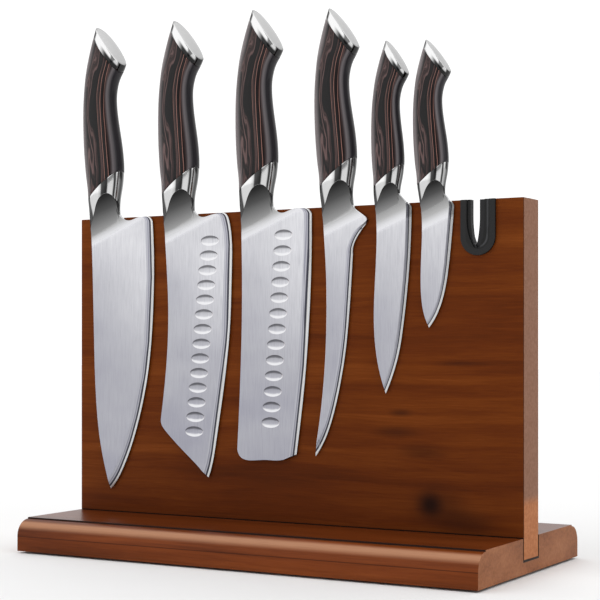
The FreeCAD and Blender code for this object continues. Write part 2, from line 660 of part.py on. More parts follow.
def blade_shape(knife):
    """Blade with its ground bevels, honed edge, hollows and tang."""
    curves = scaled_outline(knife)
    half = size("blade_thickness") / 2
    honed_half = size("edge_half_thickness")
    ground = inset_outline(curves, size(f"{knife}_bevel"))
    honed = inset_outline(curves, size("edge_width"))
    wires = [blade_wire(ground, -half), blade_wire(honed, -honed_half), blade_wire(curves, 0),
             blade_wire(honed, honed_half), blade_wire(ground, half)]
    blade = Part.makeLoft(wires, True, True)
    handle_length, handle_width, _ = handle_scale(knife)
    left = size("tang_left") * handle_width
    right = size("tang_right") * handle_width
    height = size("tang_height") * handle_length
    tang = Part.makeBox(right - left, 2 * half, height, FreeCAD.Vector(left, -half, 0))
    blade = blade.fuse(lean(knife, tang)).removeSplitter()
    for hollow in hollows(knife):
        blade = blade.cut(hollow)
    return blade


def hollows(knife):
    """Shallow oval cutters for the row of ground hollows, on both faces of the blade."""
    if knife not in DIMPLES:
        return []
    count, first, last, half_length = DIMPLES[knife]
    length = size(f"{knife}_length") / KNIFE_SIZES[knife][1]
    half = size("blade_thickness") / 2
    depth = size("dimple_depth")
    height = size("dimple_half_height")
    stretch = FreeCAD.Matrix()
    stretch.scale(half_length * 2, depth * 2, height * 2)
    oval = Part.makeSphere(0.5).transformGeometry(stretch)
    cutters = []
    for number in range(count):
        part = number / (count - 1)
        down = (first[0] + (last[0] - first[0]) * part) * length
        across = first[1] + (last[1] - first[1]) * part
        for face in (-half, half):
            cutter = oval.copy()
            cutter.translate(FreeCAD.Vector(across, face, -down))
            cutters.append(cutter)
    return cutters


def handle_blank(knife):
    """Oval sections along the whole upright handle, longer than the handle at the butt."""
    length, width, thickness = handle_scale(knife)
    sections = []
    for up, left, right, half in HANDLE_SECTIONS:
        centre = FreeCAD.Vector((left + right) / 2 * width, 0, up * length)
        oval = Part.Ellipse(centre, (right - left) / 2 * width, half * thickness)
        sections.append(Part.Wire([oval.toShape()]))
    return Part.makeLoft(sections, True, False)


def handle_zone(knife, lower, upper):
    """Block between two curves of the side view, across the whole thickness."""
    length, width, _ = handle_scale(knife)
    front = FreeCAD.Vector(0, -BEYOND, 0)
    low = [FreeCAD.Vector(across * width, 0, up * length) + front for across, up in lower]
    high = [FreeCAD.Vector(across * width, 0, up * length) + front for across, up in upper]
    edges = [spline(low), Part.LineSegment(low[-1], high[-1]).toShape(), spline(high),
             Part.LineSegment(high[0], low[0]).toShape()]
    return Part.Face(Part.Wire(edges)).extrude(FreeCAD.Vector(0, 2 * BEYOND, 0))


def scoop_block(knife):
    """Block that thins the bolster towards the blade, along a curve in the end view."""
    start = size("shoulder_height")
    half = size("blade_thickness") / 2
    full = size(f"{knife}_handle_thickness") / 2 + size("scoop_reach")
    rise = size("scoop_height")
    flank = []
    for part in (0, 0.25, 0.5, 0.75, 1):
        flank.append((half + (full - half) * part ** SCOOP_POWER, start + rise * part))
    right = [FreeCAD.Vector(-BEYOND, y, z) for y, z in flank]
    left = [FreeCAD.Vector(-BEYOND, -y, z) for y, z in flank]
    top = size("scoop_height") + BEYOND
    corners = [right[-1], FreeCAD.Vector(-BEYOND, full, top), FreeCAD.Vector(-BEYOND, -full, top),
               left[-1]]
    edges = [spline(right)]
    edges += [Part.LineSegment(*pair).toShape() for pair in zip(corners, corners[1:])]
    edges += [spline(left), Part.LineSegment(left[0], right[0]).toShape()]
    return Part.Face(Part.Wire(edges)).extrude(FreeCAD.Vector(2 * BEYOND, 0, 0))


def add_knife_piece(knife, piece, shape):
    """Adds one piece of a knife, placed at the knife's station on the front of the board."""
    feature = document.addObject("Part::Feature", f"{knife}_{piece}")
    feature.Label = f"{knife}_{piece}"
    feature.Shape = shape
    feature.setExpression("Placement.Base.x", f"{LEFT} + Sizes.{knife}_station")
    feature.setExpression("Placement.Base.y",
                          f"{BOARD_FRONT} - Sizes.blade_gap - Sizes.blade_thickness / 2")
    feature.setExpression("Placement.Base.z", BOARD_TOP)


def knife(name):
    """Blade, bolster, grip and butt cap of one knife, in its own frame at the board top."""
    blade = blade_shape(name)
    blank = handle_blank(name)
    shoulder = size("shoulder_height") / handle_scale(name)[0]
    side = GRIP_START[-1][0]
    foot = [(-side, shoulder), (side, shoulder)]
    bolster = blank.common(handle_zone(name, foot, GRIP_START)).common(scoop_block(name))
    grip = blank.common(handle_zone(name, GRIP_START, CAP_START))
    butt_cap = blank.common(handle_zone(name, CAP_START, CAP_END))
    add_knife_piece(name, "blade", blade)
    for piece, shape in (("bolster", bolster), ("grip", grip), ("butt_cap", butt_cap)):
        add_knife_piece(name, piece, lean(name, shape).cut(blade))


# ---------------------------------------------------------------- build, check and write

for make in (base_plate, front_panel, rear_panel, front_magnets, base_screws, rubber_feet,
             sharpener_front_frame, sharpener_rear_frame, sharpener_guide, sharpener_stone):
    make()
for knife_name in KNIFE_SIZES:
    knife(knife_name)
document.recompute()

pieces = [item for item in document.Objects
          if item.isDerivedFrom("PartDesign::Body") or item.TypeId == "Part::Feature"]
for item in document.Objects:
    if "Invalid" in item.State or "Error" in item.State:
        raise ValueError(f"{item.Label} failed: {item.State}")
for piece in pieces:
    if piece.Shape.isNull() or not piece.Shape.isValid():
        raise ValueError(f"{piece.Label} has no valid shape")

os.makedirs("parts", exist_ok=True)
for piece in pieces:
    piece.Shape.exportStep(f"parts/{piece.Label}.step")
    print(piece.Label, len(piece.Shape.Solids), "solids", round(piece.Shape.Volume), "mm3")
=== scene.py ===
import math

import bmesh
import bpy
import numpy as np
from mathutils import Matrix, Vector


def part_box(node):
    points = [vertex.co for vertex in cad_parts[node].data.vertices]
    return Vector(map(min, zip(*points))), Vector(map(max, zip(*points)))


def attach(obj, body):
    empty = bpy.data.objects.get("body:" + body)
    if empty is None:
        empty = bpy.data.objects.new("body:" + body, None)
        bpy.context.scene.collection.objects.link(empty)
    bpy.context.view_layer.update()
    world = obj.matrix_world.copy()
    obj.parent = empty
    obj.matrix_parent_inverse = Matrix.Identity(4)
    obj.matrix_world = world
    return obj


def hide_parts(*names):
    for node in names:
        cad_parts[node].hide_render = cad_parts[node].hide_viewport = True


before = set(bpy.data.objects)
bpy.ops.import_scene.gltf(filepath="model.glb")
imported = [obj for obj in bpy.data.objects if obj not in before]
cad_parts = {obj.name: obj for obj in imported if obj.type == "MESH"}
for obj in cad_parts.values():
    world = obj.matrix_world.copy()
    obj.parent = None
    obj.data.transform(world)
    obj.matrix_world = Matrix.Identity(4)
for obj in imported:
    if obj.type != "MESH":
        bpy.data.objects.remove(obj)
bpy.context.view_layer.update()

# Upright magnetic knife rack with six knives and a drop-in sharpening insert.
# Metres, in the frame of the CAD. Handle measures are in millimetres at full size.
MM = 0.001
MM_PER_METRE = 1000
STUDIO_LIGHT = 1.5


# ---------------------------------------------------------------- materials by expressions


class Signal:
    """One output of a node. Arithmetic on it adds Math nodes."""

    def __init__(self, paint, socket):
        self.paint = paint
        self.socket = socket

    def math(self, operation, *others):
        """A Math node whose first value is this signal."""
        return self.paint.math(operation, self, *others)

    def __add__(self, other):
        return self.math("ADD", other)

    __radd__ = __add__

    def __sub__(self, other):
        return self.math("SUBTRACT", other)

    def __rsub__(self, other):
        return self.paint.math("SUBTRACT", other, self)

    def __mul__(self, other):
        return self.math("MULTIPLY", other)

    __rmul__ = __mul__

    def __truediv__(self, other):
        return self.math("DIVIDE", other)

    def __abs__(self):
        return self.math("ABSOLUTE")

    def rise(self, low, high):
        """0 below low, 1 above high, smooth between; low may lie above high."""
        ends = {0: self, 1: min(low, high), 2: max(low, high)}
        ends.update({3: 0, 4: 1} if low < high else {3: 1, 4: 0})
        return self.paint.node("ShaderNodeMapRange", {"interpolation_type": "SMOOTHSTEP"}, ends)


class Paint:
    """A node tree filled by expressions."""

    def __init__(self, tree):
        self.tree = tree

    def node(self, kind, settings=None, values=None, output=0):
        made = self.tree.nodes.new(kind)
        for name, value in (settings or {}).items():
            if name == "stops":
                ramp = made.color_ramp.elements
                while len(ramp) < len(value):
                    ramp.new(0.5)
                for element, (position, colour) in zip(ramp, value):
                    element.position = position
                    element.color = colour
            else:
                setattr(made, name, value)
        for place, value in (values or {}).items():
            self.feed(made.inputs[place], value)
        return Signal(self, made.outputs[output])

    def feed(self, socket, value):
        if isinstance(value, Signal):
            self.tree.links.new(value.socket, socket)
        else:
            socket.default_value = value

    def math(self, operation, *values):
        return self.node("ShaderNodeMath", {"operation": operation}, dict(enumerate(values)))

    def mix(self, share, first, second):
        """Colour between two colours."""
        return self.node("ShaderNodeMix", {"data_type": "RGBA"},
                         {0: share, 6: first, 7: second}, 2)

    def ramp(self, share, *stops):
        return self.node("ShaderNodeValToRGB", {"stops": stops}, {0: share})

    def place(self):
        return self.node("ShaderNodeTexCoord", output="Object")

    def attribute(self, name):
        """A number that a mesh carries."""
        return self.node("ShaderNodeAttribute", {"attribute_name": name}, output="Fac")

    def facing(self):
        """x, y and z of the direction that the surface faces."""
        return self.parts(self.node("ShaderNodeNewGeometry", output="Normal"))

    def parts(self, vector):
        """x, y and z of a vector."""
        split = self.node("ShaderNodeSeparateXYZ", None, {0: vector})
        return [Signal(self, socket) for socket in split.socket.node.outputs]

    def join(self, x, y, z):
        return self.node("ShaderNodeCombineXYZ", None, {0: x, 1: y, 2: z})

    def stretch(self, vector, x, y, z):
        return self.node("ShaderNodeVectorMath", {"operation": "MULTIPLY"},
                         {0: vector, 1: (x, y, z)})

    def noise(self, vector, detail=2, rough=0.5, distortion=0):
        return self.node("ShaderNodeTexNoise", None,
                         {"Vector": vector, "Scale": 1, "Detail": detail, "Roughness": rough,
                          "Distortion": distortion})


class Finish(Paint):
    """A procedural material on one Principled shader; plain holds its uniform numbers."""

    def __init__(self, name, plain):
        self.material = bpy.data.materials.new(name)
        self.material.use_nodes = True
        super().__init__(self.material.node_tree)
        self.shader = self.tree.nodes["Principled BSDF"]
        for socket, value in plain.items():
            self.shader.inputs[socket].default_value = value

    def give(self, socket, value):
        self.feed(self.shader.inputs[socket], value)

    def bump(self, height, strength, distance):
        self.give("Normal", self.node("ShaderNodeBump", None,
                                      {"Strength": strength, "Distance": distance,
                                       "Height": height}))


def tone(red, green, blue):
    """Linear colour from an ordinary 0-255 one."""
    parts = [part / 255 for part in (red, green, blue)]
    return (*[part / 12.92 if part <= 0.04045 else ((part + 0.055) / 1.055) ** 2.4
              for part in parts], 1)


def mirror(level, blue=0):
    """Colour of bare metal that shows as this grey where it reflects the studio's panels."""
    return (*[part / STUDIO_LIGHT for part in tone(level, level, level + blue)[:3]], 1)


def slant(side, height):
    """Length of the line that goes this far sideways and this far up."""
    return (side * side + height * height).math("SQRT")


# The groove in the base, and the flat top of the base.
GROOVE_MIDDLE = (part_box("front_panel")[0].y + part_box("rear_panel")[1].y) / 2
GROOVE_HALF = (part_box("rear_panel")[1].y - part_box("front_panel")[0].y) / 2
GROOVE_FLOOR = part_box("front_panel")[0].z
BASE_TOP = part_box("base_plate")[1].z
# The rounded edges of the base: each begins at a small step down and ends at its foot.
EDGE_RADIUS = 0.0115
QUIRK_STEP = 0.001
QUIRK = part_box("base_plate")[1].y - EDGE_RADIUS
ROUND_FOOT = BASE_TOP - QUIRK_STEP - EDGE_RADIUS

# Painted shade: dark colour in the fine lines of the mouldings and on the board's eased end edges,
# and painted shade in the open groove.
PAINTED_LINE_SHADE = tone(34, 14, 7)
GROOVE_SHADE = tone(22, 10, 6)

# Darker growth marks on the board's face: x, z, half length, half height, strength.
BOARD_MARKS = [
    (0.1118, 0.0432, 0.0110, 0.0110, 1.0),
    (0.1180, 0.0420, 0.0240, 0.0190, 0.45),
    (0.1380, 0.0320, 0.0240, 0.0110, 0.45),
    (0.0905, 0.1030, 0.0100, 0.0030, 0.5),
    (0.0870, 0.0900, 0.0200, 0.0050, 0.4),
    (0.1060, 0.0775, 0.0210, 0.0060, 0.35),
    (0.1330, 0.1365, 0.0200, 0.0022, 0.4),
]


def groove_shade_line(y, z):
    """1 along the thin gap between the board's foot and the groove it stands in, where shade is
    painted.
    """
    beyond = abs(y - GROOVE_MIDDLE) - GROOVE_HALF
    outside = beyond.math("MAXIMUM", GROOVE_FLOOR - z)
    return abs(outside - 0.0005).rise(0.0009, 0.0006) * z.rise(BASE_TOP + 0.0008,
                                                             BASE_TOP + 0.0004)


def pine_grain(finish, place, bend, sway, broad, streaks, fibres):
    """Warp, bent place, and broad, middling and fine grain. The noises are stretched in x, y and z,
    and sway is how far the warp moves the grain in y and in z."""
    x, y, z = finish.parts(place)
    warp = finish.noise(finish.stretch(place, *bend), 2) - 0.5
    waved = finish.join(x, y + warp * sway[0], z + warp * sway[1])
    return (warp, waved, finish.noise(finish.stretch(waved, *broad), 3, 0.55),
            finish.noise(finish.stretch(waved, *streaks), 4, 0.62, 0.3),
            finish.noise(finish.stretch(waved, *fibres), 2, 0.6))


def stained_wood():
    """Reddish-brown stain over pine: long horizontal grain, marks, paler end grain, with painted
    shade on the end edges and in the groove.
    """
    finish = Finish("stained_wood", {"Specular IOR Level": 0.05})
    place = finish.place()
    x, y, z = finish.parts(place)
    warp, waved, broad, streaks, fibres = pine_grain(
        finish, place, bend=(6, 14, 18), sway=(0.006, 0.012), broad=(4, 22, 26),
        streaks=(9, 120, 190), fibres=(60, 1300, 1600))
    rings = finish.node("ShaderNodeTexWave", {"bands_direction": "Z"},
                        {"Vector": finish.stretch(waved, 0.9, 9, 11), "Scale": 1,
                         "Distortion": 7, "Detail": 3, "Detail Scale": 0.8})
    share = broad * 0.44 + streaks * 0.34 + fibres * 0.16 + rings * 0.06
    wood = finish.ramp(share, (0.34, tone(74, 31, 5)), (0.46, tone(92, 40, 7)),
                       (0.55, tone(104, 49, 10)), (0.68, tone(122, 62, 19)))
    across, along, up = finish.facing()
    face = along.rise(-0.5, -0.9)
    for mark_x, mark_z, half_x, half_z, strength in BOARD_MARKS:
        side = (x - mark_x) / half_x
        height = (z - mark_z) / half_z + warp * 1.5
        mark = slant(side, height).rise(1.25, 0.1)
        wood = finish.mix(mark * face * strength, wood, tone(30, 12, 6))
    # The face a little darker towards the bottom.
    lower = z.rise(0.14, 0.02)
    wood = finish.mix(lower * face * 0.14, wood, tone(58, 24, 8))
    ends = abs(across).rise(0.55, 0.8)
    speckle = finish.noise(finish.stretch(place, 60, 420, 520), 3, 0.6)
    # Painted reflected light: the end grain warmer near the board's foot, as if lit by the base.
    foot = z.rise(0.052, 0.044)
    paler = finish.mix(foot, tone(142, 104, 84), tone(182, 120, 80))
    darker = finish.mix(foot, tone(130, 92, 72), tone(164, 102, 64))
    grain = finish.mix(speckle.rise(0.3, 0.7), darker, paler)
    colour = finish.mix(ends, wood, grain)
    # Painted shade: dark colour on the eased edges of the board's ends.
    arris = abs(across).rise(0.2, 0.5) * abs(across).rise(0.9, 0.7)
    colour = finish.mix(arris * 0.7, colour, PAINTED_LINE_SHADE)
    # Painted shade in the gap where the board stands in the groove.
    finish.give("Base Color", finish.mix(groove_shade_line(y, z), colour, GROOVE_SHADE))
    finish.give("Roughness", 0.36 + fibres * 0.16 + ends * 0.1)
    finish.bump(fibres * 0.6 + streaks * 0.4, 0.25, 0.0004)
    return finish.material


def base_wood():
    """The board's stain on the base, with a lighter, redder painted highlight on its rounded edges
    and painted shade in its fine lines and groove.
    """
    finish = Finish("base_wood", {"Specular IOR Level": 0.1})
    place = finish.place()
    x, y, z = finish.parts(place)
    warp, waved, broad, streaks, fibres = pine_grain(
        finish, place, bend=(5, 16, 18), sway=(0.010, 0.008), broad=(4, 24, 30),
        streaks=(8, 150, 190), fibres=(60, 1500, 1600))
    share = broad * 0.5 + streaks * 0.38 + fibres * 0.12
    wood = finish.ramp(share, (0.34, tone(78, 33, 8)), (0.48, tone(104, 48, 15)),
                       (0.58, tone(120, 58, 21)), (0.7, tone(138, 74, 32)))
    across, along, up = finish.facing()
    ends = abs(across).rise(0.55, 0.8)
    speckle = finish.noise(finish.stretch(place, 60, 420, 520), 3, 0.6)
    arcs = finish.noise(finish.stretch(place, 1, 26, 60), 3, 0.55)
    grain = finish.ramp(arcs * 0.6 + speckle * 0.4, (0.34, tone(118, 70, 40)),
                        (0.5, tone(142, 88, 54)), (0.66, tone(160, 104, 68)))
    # Painted highlight on the rounded edges where they face up at a slant.
    painted_edge_highlight = up.rise(0.35, 0.72) * up.rise(0.96, 0.8)
    wood = finish.mix(painted_edge_highlight * (0.75 + fibres * 0.35), wood, tone(172, 124, 94))
    # Darker on the flat top.
    wood = finish.mix(up.rise(0.96, 1) * 0.35, wood, tone(70, 28, 8))
    colour = finish.mix(ends, wood, grain)
    # Painted shade in the small step at the top of each rounded edge and along its foot.
    quirk = abs(abs(y) - QUIRK).rise(0.0007, 0.0004) * z.rise(BASE_TOP - 0.0035, BASE_TOP - 0.003)
    turn = abs(z - ROUND_FOOT).rise(0.0004, 0.0002) * abs(along).rise(0.9, 0.98)
    colour = finish.mix((quirk + turn * 0.6) * (1 - ends), colour, PAINTED_LINE_SHADE)
    # Painted shade in the gap where the board stands in the groove.
    finish.give("Base Color", finish.mix(groove_shade_line(y, z), colour, GROOVE_SHADE))
    finish.give("Roughness", 0.24 + fibres * 0.14 + ends * 0.16)
    finish.bump(fibres * 0.6 + streaks * 0.4, 0.22, 0.0004)
    return finish.material


# Painted reflection: greys up a polished hollow, from the finishing line to the top of the arch.
POLISH = ((0, mirror(234, 4)), (0.08, mirror(222, 3)), (0.2, mirror(182)), (0.38, mirror(146)),
          (0.58, mirror(98)), (0.8, mirror(56)), (0.95, mirror(42)))

# The finishing line under the handle: how far it lies below the board top at the handle's axis,
# and its slope. Then the height of the polished hollow over it, and the depth from the middle of
# the blade over which the painted reflection bands of the cutting bevel lie. All in millimetres.
FINISH_DROP = 15.8
FINISH_SLOPE = 0.41
HOLLOW_HEIGHT = 34
BEVEL_DEPTH = 1.3


def blade_steel(knife, axis, board_top, middle):
    """Satin blade, polished above the finishing line, with painted reflections: a bright honed edge
    beside a dark line, a spine highlight, dimple shading and greys up the hollow.
    """
    finish = Finish(f"{knife}_steel", {"Metallic": 1})
    place = finish.place()
    x, y, z = finish.parts(place)
    lines = finish.noise(finish.stretch(place, 2600, 300, 60), 3, 0.7)
    blotches = finish.noise(finish.stretch(place, 14, 14, 26), 2, 0.5)
    height = (z - board_top) * MM_PER_METRE
    side = (x - axis) * MM_PER_METRE
    # Painted reflection: the face brighter near the board top, most of all to the right.
    down = height.rise(0, -200)
    right = (side + height * 0.05).rise(-14, 34)
    body = finish.ramp(height * 0.004 + 1, (0.2, mirror(182, 14)), (0.6, mirror(186, 10)),
                       (0.8, mirror(198, 8)), (0.95, mirror(236, 4)))
    body = finish.mix(right * down.rise(0.7, 0.1) * 0.7, body, mirror(246, 4))
    body = finish.mix(blotches.rise(0.35, 0.7) * 0.5, body, mirror(214, 5))
    body = finish.mix(lines.rise(0.4, 0.7) * 0.35, body, mirror(160, 12))
    # Above the finishing line the steel is polished, with painted reflection greys up the hollow.
    above = height - (side * FINISH_SLOPE - FINISH_DROP)
    polished = above.rise(-2.4, 1.6)
    body = finish.mix(polished, body, finish.ramp(above / HOLLOW_HEIGHT, *POLISH))
    # Painted reflection bands on the cutting bevel: a bright edge beside a dark line.
    half = (middle - y) * MM_PER_METRE
    edge = finish.ramp(half / BEVEL_DEPTH, (0.0, mirror(250)), (0.33, mirror(250)),
                       (0.38, mirror(60, 8)), (0.52, mirror(84, 12)),
                       (0.58, mirror(205, 8)), (0.7, mirror(150, 14)),
                       (0.8, mirror(205, 8)), (0.95, mirror(190, 10)))
    ground = finish.attribute("ground")
    across, along, lean = finish.facing()
    # Painted highlight along the spine.
    spine_highlight = across.rise(-0.15, -0.35) * (1 - ground)
    body = finish.mix(spine_highlight * 0.8, body, tone(226, 214, 212))
    # Painted reflection on the dimples: dark where they face down, bright where they face up.
    body = finish.mix(lean.rise(-0.03, -0.14) * 0.7, body, mirror(70, 6))
    body = finish.mix(lean.rise(0.03, 0.12) * 0.8, body, mirror(252, 2))
    finish.give("Base Color", finish.mix(ground, body, edge))
    finish.give("Roughness", 0.27 + lines * 0.1 - polished * 0.2)
    finish.bump(lines, 0.05, 0.0002)
    return finish.material


def bolster_steel():
    """Mirror-bright bolster with painted reflections: bands round it, greys darker up under the
    arch and a highlight along the arch.
    """
    finish = Finish("bolster_steel", {"Metallic": 1})
    smears = finish.noise(finish.stretch(finish.place(), 90, 90, 60), 3, 0.55)
    scoop = finish.attribute("hollow")
    share = finish.attribute("share")
    # Painted reflection bands round the bolster.
    bands = finish.ramp(share * 0.5 + 0.5, (0, mirror(60)), (0.12, mirror(100)),
                        (0.17, mirror(76)), (0.22, mirror(250)), (0.5, mirror(252)),
                        (0.58, mirror(222)), (0.62, mirror(80)), (0.77, mirror(50)),
                        (0.8, mirror(252)),
                        (0.9, mirror(252)), (0.925, mirror(60)), (0.945, mirror(70)),
                        (0.96, mirror(222)), (0.985, mirror(196)), (1, mirror(96)))
    # Painted reflection: greys up the hollow, the bands above it.
    shade = finish.mix(scoop.rise(0.965, 0.99), finish.ramp(scoop, *POLISH), bands)
    # Painted highlight along the arch.
    rim = scoop.rise(0.955, 0.97) * scoop.rise(0.998, 0.985)
    finish.give("Base Color", finish.mix(rim * 0.8, shade, mirror(236)))
    finish.give("Roughness", 0.06 + smears * 0.08)
    finish.bump(smears, 0.03, 0.0002)
    return finish.material


def cap_steel():
    """Butt cap: brushed end face, polished rim and sides with painted reflection bands."""
    finish = Finish("cap_steel", {"Metallic": 1})
    lines = finish.noise(finish.stretch(finish.place(), 180, 2600, 180), 3, 0.7)
    face = finish.attribute("end_face")
    share = finish.attribute("share")
    rise = finish.attribute("rise")
    # Painted reflection bands on the rim and sides.
    bands = finish.mix(share.rise(-0.15, 0.3) * rise.rise(0.66, 0.4), mirror(250), mirror(56))
    bands = finish.mix(share.rise(0.86, 0.93), bands, mirror(70))
    bands = finish.mix(share.rise(-0.66, -0.84), bands, mirror(96))
    finish.give("Base Color", finish.mix(face, bands, mirror(216)))
    finish.give("Roughness", 0.08 + face * (0.2 + lines * 0.14))
    finish.bump(lines * face, 0.06, 0.0002)
    return finish.material


def grip_wood():
    """Dark laminated wood under gloss: veneers that follow the handle's bend, with a painted sheen
    and a painted grey reflection.
    """
    finish = Finish("grip_wood", {"Specular IOR Level": 0.15, "Coat Roughness": 0.12})
    side = finish.attribute("lateral")
    share = finish.attribute("share")
    height = finish.attribute("along")
    depth = finish.attribute("depth")
    sway = finish.noise(finish.join(side * 0.10, height * 0.024, depth * 0.05), 2) - 0.5
    layer = side + sway * (2 + side.rise(6, -4) * 26)
    bands = finish.noise(finish.join(layer * 0.34, height * 0.004, 0), 3, 0.6)
    veneer = finish.ramp(bands, (0.40, tone(8, 7, 8)), (0.50, tone(22, 17, 18)),
                         (0.57, tone(54, 39, 38)), (0.64, tone(98, 76, 74)))
    fibres = finish.noise(finish.join(layer * 3.2, height * 0.05, depth), 3, 0.6)
    step = (layer * 0.38 + 0.1).math("FRACT")
    line = abs(step - 0.5).rise(0.12, 0.05) * share.rise(0.2, 0.34) * share.rise(0.72, 0.62)
    colour = finish.mix(line * (0.45 + fibres * 0.8), veneer, tone(150, 108, 98))
    # Painted sheen: greys towards the belly edge.
    plain = share.rise(0.66, 0.78)
    sheen = finish.ramp(share, (0.7, tone(66, 58, 60)), (0.8, tone(108, 102, 104)),
                        (0.87, tone(80, 76, 79)), (0.91, tone(42, 40, 44)),
                        (1, tone(36, 34, 38)))
    colour = finish.mix(plain * 0.9, colour, sheen)
    # Painted reflection: a grey band towards the back edge.
    back = share.rise(-0.42, -0.8) * share.rise(-1.0, -0.94)
    colour = finish.mix(back * 0.85, colour, tone(136, 128, 129))
    finish.give("Base Color", colour)
    finish.give("Roughness", 0.26 + fibres * 0.14)
    finish.give("Coat Weight", 0.1 + share.rise(-0.5, -1) * 0.3 + fibres * 0.06)
    finish.bump(fibres, 0.06, 0.0002)
    return finish.material


def moulded(name, shade, other, rough, grain, lines=None, metal=0):
    """Fine-grained solid material: plastic, ceramic or rubber, or plating where metal is 1. lines
    is a function that draws over its colour."""
    finish = Finish(name, {"Metallic": metal, "Specular IOR Level": 0.25})
    place = finish.place()
    speckle = finish.noise(finish.stretch(place, grain, grain, grain), 4, 0.6)
    cloud = finish.noise(finish.stretch(place, 40, 40, 40), 2, 0.5)
    colour = finish.mix(speckle * 0.6 + cloud * 0.4, shade, other)
    finish.give("Base Color", lines(finish, place, colour) if lines else colour)
    finish.give("Roughness", rough - 0.06 + speckle * 0.14)
    finish.bump(speckle, 0.18, 0.0003)
    return finish.material


# Radii of the painted lines round the insert's throat, in millimetres: shade at the lip, throat and
# rib, a highlight on the ridge.
LIP = 7.9
THROAT = 7.6
RIDGE = 6.6
RIB = 4.6


def throat_shade_and_highlight(finish, place, shade):
    """The insert's colour with painted shade at its lip, throat and rib, and a painted highlight on
    its ridge.
    """
    x, y, z = finish.parts(place)
    face = finish.facing()[1].rise(-0.1, -0.3)
    low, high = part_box("sharpener_front_frame")
    side = (x - (low.x + high.x) / 2) * MM_PER_METRE
    below = ((z - (low.z + (high.x - low.x) / 2)) * MM_PER_METRE).math("MINIMUM", 0)
    reach = slant(side, below)
    lip = abs(reach - LIP).rise(0.6, 0.3)
    rib = abs(reach - RIB).rise(1.2, 0.9) * side.rise(1, 2)
    throat = reach.rise(THROAT, THROAT - 0.4) * side.rise(-2, -3)
    ridge = abs(reach - RIDGE).rise(0.7, 0.3) * side.rise(1, 2)
    # Painted highlight on the ridge.
    shade = finish.mix(ridge * face * 0.8, shade, tone(58, 59, 61))
    # Painted shade at the lip, the rib and the throat.
    dark = lip.math("MAXIMUM", rib).math("MAXIMUM", throat)
    return finish.mix(dark * face * 0.9, shade, tone(3, 3, 3))


# ---------------------------------------------------------------- pieces made from CAD nodes

DULL_PLATING = tone(120, 120, 124)
FINISHES = {
    "stained_wood": stained_wood(),
    "base_wood": base_wood(),
    "magnet": moulded("magnet", tone(172, 172, 176), DULL_PLATING, 0.3, 700, metal=1),
    "zinc_steel": moulded("zinc_steel", tone(196, 196, 190), DULL_PLATING, 0.32, 700, metal=1),
    "foot_rubber": moulded("foot_rubber", tone(16, 16, 17), tone(26, 26, 27), 0.8, 1500),
    "black_plastic": moulded("black_plastic", tone(10, 10, 11), tone(24, 24, 25), 0.42, 1800,
                             throat_shade_and_highlight),
    "dark_ceramic": moulded("dark_ceramic", tone(14, 14, 15), tone(34, 34, 36), 0.5, 2600,
                            throat_shade_and_highlight),
}
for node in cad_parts.values():
    for holder in node.material_slots:
        kind = holder.material.name.split(".")[0]
        if kind in FINISHES:
            holder.material = FINISHES[kind]


def put(name, mesh, body, nodes, finish):
    """Adds a finished piece that rides on a body in place of CAD nodes."""
    piece = bpy.data.objects.new(name, mesh)
    bpy.context.scene.collection.objects.link(piece)
    mesh.materials.clear()
    mesh.materials.append(finish)
    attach(piece, body)
    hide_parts(*nodes)
    return piece


def eased_mesh(node, width, angle, spare=None):
    """Copy of a node's mesh with its edges eased. angle is the least bend of an eased edge, and
    spare says which edges stay as they are."""
    shape = bmesh.new()
    shape.from_mesh(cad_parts[node].data)
    bmesh.ops.remove_doubles(shape, verts=shape.verts, dist=1e-6)
    bmesh.ops.dissolve_limit(shape, angle_limit=math.radians(0.6), verts=shape.verts,
                             edges=shape.edges)
    bends = [edge for edge in shape.edges
             if edge.is_manifold and edge.calc_face_angle(0) > math.radians(angle)
             and not (spare and spare(edge))]
    bmesh.ops.bevel(shape, geom=bends, offset=width, segments=2, profile=0.5,
                    affect="EDGES", clamp_overlap=True)
    for face in shape.faces:
        face.smooth = True
    mesh = bpy.data.meshes.new(f"{node}_eased")
    shape.to_mesh(mesh)
    shape.free()
    return mesh


def eased_piece(node, name, body, width, finish, angle=50, spare=None, sharp=35):
    mesh = eased_mesh(node, width, angle, spare)
    mesh.set_sharp_from_angle(angle=math.radians(sharp))
    piece = put(name, mesh, body, [node], finish)
    level = piece.modifiers.new("flat_faces", "WEIGHTED_NORMAL")
    level.keep_sharp = True
    level.weight = 100
    return piece


board_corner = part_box("front_panel")[1]
panel_joint = board_corner.y
board_top = board_corner.z

# How far the edges of each kind of piece are eased.
WOOD_EASE = 0.0006
PLASTIC_EASE = 0.0003
STONE_EASE = 0.0002
BLADE_EASE = 0.0004


def on_joint(edge):
    """True for the edges where the two layers of the board are glued together."""
    return all(abs(vertex.co.y - panel_joint) < 1e-5 for vertex in edge.verts)


for node, name in (("front_panel", "board_front_layer"), ("rear_panel", "board_rear_layer")):
    eased_piece(node, name, "rack", WOOD_EASE, FINISHES["stained_wood"],
                spare=on_joint)
eased_piece("base_plate", "moulded_base", "rack", WOOD_EASE,
            FINISHES["base_wood"])
for node in ("sharpener_front_frame", "sharpener_rear_frame"):
    eased_piece(node, f"{node}_moulding", "sharpener", PLASTIC_EASE,
                FINISHES["black_plastic"])
for node in ("sharpener_guide", "sharpener_stone"):
    eased_piece(node, f"{node}_insert", "sharpener", STONE_EASE,
                FINISHES["dark_ceramic"])

# ---------------------------------------------------------------- knife handles


